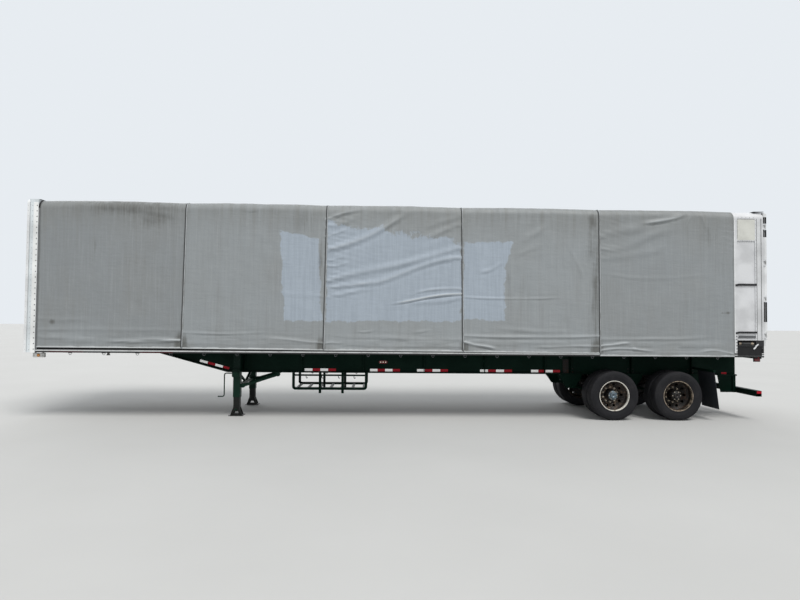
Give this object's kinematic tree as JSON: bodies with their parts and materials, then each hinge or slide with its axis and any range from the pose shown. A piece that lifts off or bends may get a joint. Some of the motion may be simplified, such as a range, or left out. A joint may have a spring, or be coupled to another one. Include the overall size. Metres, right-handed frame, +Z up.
{
  "type": "flatbed semi trailer with sliding tarp cover",
  "caption": "Two-axle flatbed semi trailer under a sliding tarp cover on bows, with a front bulkhead, a rolling rear frame with doors, landing legs and dual wheels.",
  "frame": {"origin": "middle of the trailer's length and width, on the ground", "axes": "+X to the rear, +Y to the trailer's right side, +Z up"},
  "size_m": [14, 2.59, 4.05],
  "materials": {
    "frame_paint": "weathered dark green paint with road dirt",
    "rail_aluminium": "dull extruded aluminium",
    "bulkhead_white": "weathered white sheet",
    "frame_white": "weathered white sheet",
    "floor_wood": "worn hardwood planks",
    "tarp_grey": "weathered grey coated fabric with streaks",
    "bow_aluminium": "mill finish",
    "tyre": "worn road tyre",
    "rim_white": "white steel disc with rust",
    "rim_rust": "rusty tan steel disc",
    "hub_iron": "rusty dark cast iron",
    "axle_paint": "dirty black paint",
    "spring_steel": "rusty spring steel",
    "kingpin_steel": "greased forged steel",
    "flap_rubber": "black rubber sheet",
    "lamp_red": "red lens",
    "coupling_metal": "dull cast metal",
    "leg_paint": "dirty dark paint",
    "lever_steel": "worn zinc"
  },
  "bodies": {
    "chassis": {"main_beams": "frame_paint", "cross_members": "frame_paint", "deck_floor": "floor_wood", "side_rails": "rail_aluminium", "tarp_tracks": "rail_aluminium", "rear_sill": "frame_paint", "coupler_plate": "frame_paint", "kingpin": "kingpin_steel", "bulkhead_skin": "bulkhead_white", "bulkhead_frame": "rail_aluminium", "landing_leg_tubes": "leg_paint", "landing_leg_feet": "leg_paint", "landing_gear_braces": "frame_paint", "landing_gear_crank": "leg_paint", "dunnage_rack": "frame_paint", "suspension_hangers": "frame_paint", "equalizers": "frame_paint", "leaf_springs": "spring_steel", "axle_beams": "axle_paint", "radius_rods": "frame_paint", "brake_chambers": "axle_paint", "air_tanks": "axle_paint", "mud_flap_bars": "frame_paint", "mud_flaps": "flap_rubber", "underride_guard": "frame_paint", "tail_lamps": "lamp_red", "marker_lamps": "lamp_red", "air_couplings": "coupling_metal", "bow_front": "bow_aluminium", "tarp_cover": "tarp_grey"},
    "bow_1": {"bow_1": "bow_aluminium"},
    "bow_2": {"bow_2": "bow_aluminium"},
    "bow_3": {"bow_3": "bow_aluminium"},
    "bow_4": {"bow_4": "bow_aluminium"},
    "rear_frame": {"rear_frame": "frame_white", "rear_frame_skin": "frame_white", "tension_levers": "lever_steel"},
    "rear_door_left": {"rear_door_left": "frame_white", "rear_door_gear_left": "lever_steel"},
    "rear_door_right": {"rear_door_right": "frame_white", "rear_door_gear_right": "lever_steel"},
    "wheels_front_left": {"tyres_front_left": "tyre", "rims_front_left": "rim_white", "hub_front_left": "hub_iron"},
    "wheels_front_right": {"tyres_front_right": "tyre", "rims_front_right": "rim_white", "hub_front_right": "hub_iron"},
    "wheels_rear_left": {"tyres_rear_left": "tyre", "rims_rear_left": "rim_rust", "hub_rear_left": "hub_iron"},
    "wheels_rear_right": {"tyres_rear_right": "tyre", "rims_rear_right": "rim_rust", "hub_rear_right": "hub_iron"}
  },
  "joints": [
    {"name": "cover_slide", "type": "slide", "parent": "chassis", "child": "rear_frame", "axis": [-1, 0, 0], "range_m": [0, 10.9], "deforming": ["tarp_cover"]},
    {"name": "bow_1_slide", "type": "slide", "parent": "chassis", "child": "bow_1", "axis": [-1, 0, 0], "range_m": [0, 2.19]},
    {"name": "bow_2_slide", "type": "slide", "parent": "chassis", "child": "bow_2", "axis": [-1, 0, 0], "range_m": [0, 4.37]},
    {"name": "bow_3_slide", "type": "slide", "parent": "chassis", "child": "bow_3", "axis": [-1, 0, 0], "range_m": [0, 6.55]},
    {"name": "bow_4_slide", "type": "slide", "parent": "chassis", "child": "bow_4", "axis": [-1, 0, 0], "range_m": [0, 8.73]},
    {"name": "door_left_hinge", "type": "hinge", "parent": "rear_frame", "child": "rear_door_left", "pos_m": [6.97, -1.28, 1.65], "axis": [0, 0, -1], "range_deg": [0, 260]},
    {"name": "door_right_hinge", "type": "hinge", "parent": "rear_frame", "child": "rear_door_right", "pos_m": [6.97, 1.28, 1.65], "axis": [0, 0, 1], "range_deg": [0, 260]},
    {"name": "wheels_front_left_spin", "type": "hinge", "parent": "chassis", "child": "wheels_front_left", "pos_m": [4.0154, -0.984, 0.4675], "axis": [0, 1, 0], "continuous": true},
    {"name": "wheels_front_right_spin", "type": "hinge", "parent": "chassis", "child": "wheels_front_right", "pos_m": [4.0154, 0.984, 0.4675], "axis": [0, 1, 0], "continuous": true},
    {"name": "wheels_rear_left_spin", "type": "hinge", "parent": "chassis", "child": "wheels_rear_left", "pos_m": [5.26, -0.984, 0.4675], "axis": [0, 1, 0], "continuous": true},
    {"name": "wheels_rear_right_spin", "type": "hinge", "parent": "chassis", "child": "wheels_rear_right", "pos_m": [5.26, 0.984, 0.4675], "axis": [0, 1, 0], "continuous": true}
  ],
  "couplings": [
    {"joint": "bow_1_slide", "follows": "cover_slide", "ratio": 0.2},
    {"joint": "bow_2_slide", "follows": "cover_slide", "ratio": 0.4},
    {"joint": "bow_3_slide", "follows": "cover_slide", "ratio": 0.6},
    {"joint": "bow_4_slide", "follows": "cover_slide", "ratio": 0.8}
  ]
}
